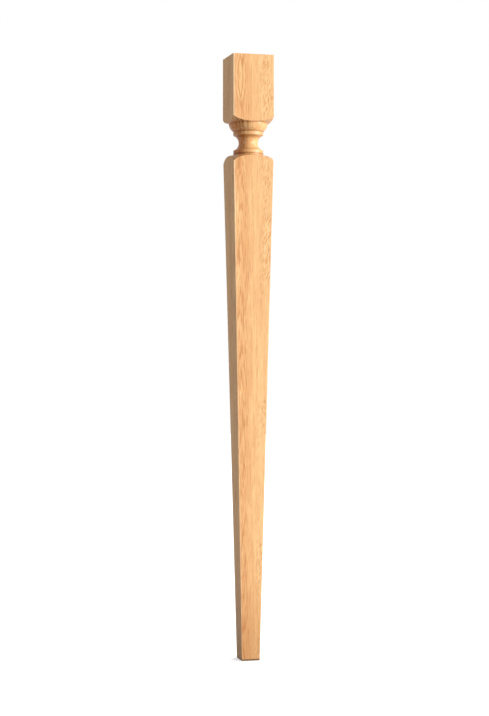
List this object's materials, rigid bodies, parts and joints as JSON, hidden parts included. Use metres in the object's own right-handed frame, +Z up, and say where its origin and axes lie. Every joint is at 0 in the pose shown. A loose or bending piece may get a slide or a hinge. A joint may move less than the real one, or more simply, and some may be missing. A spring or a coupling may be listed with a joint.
{
  "type": "tapered furniture leg",
  "caption": "Square wooden furniture leg with a plain block at the top for the rails, a turned neck of ovolo, fillets and cove, and a long straight taper to a small square foot.",
  "frame": {"origin": "on the floor, at the middle of the foot", "axes": "+Z up along the leg's own axis; the four faces of the block look along +X, -X, +Y and -Y"},
  "size_m": [0.05, 0.05, 0.72],
  "materials": {
    "oak": "pale solid oak with straight grain, sanded smooth, clear matt finish"
  },
  "bodies": {
    "root": {"leg": "oak"}
  },
  "joints": []
}
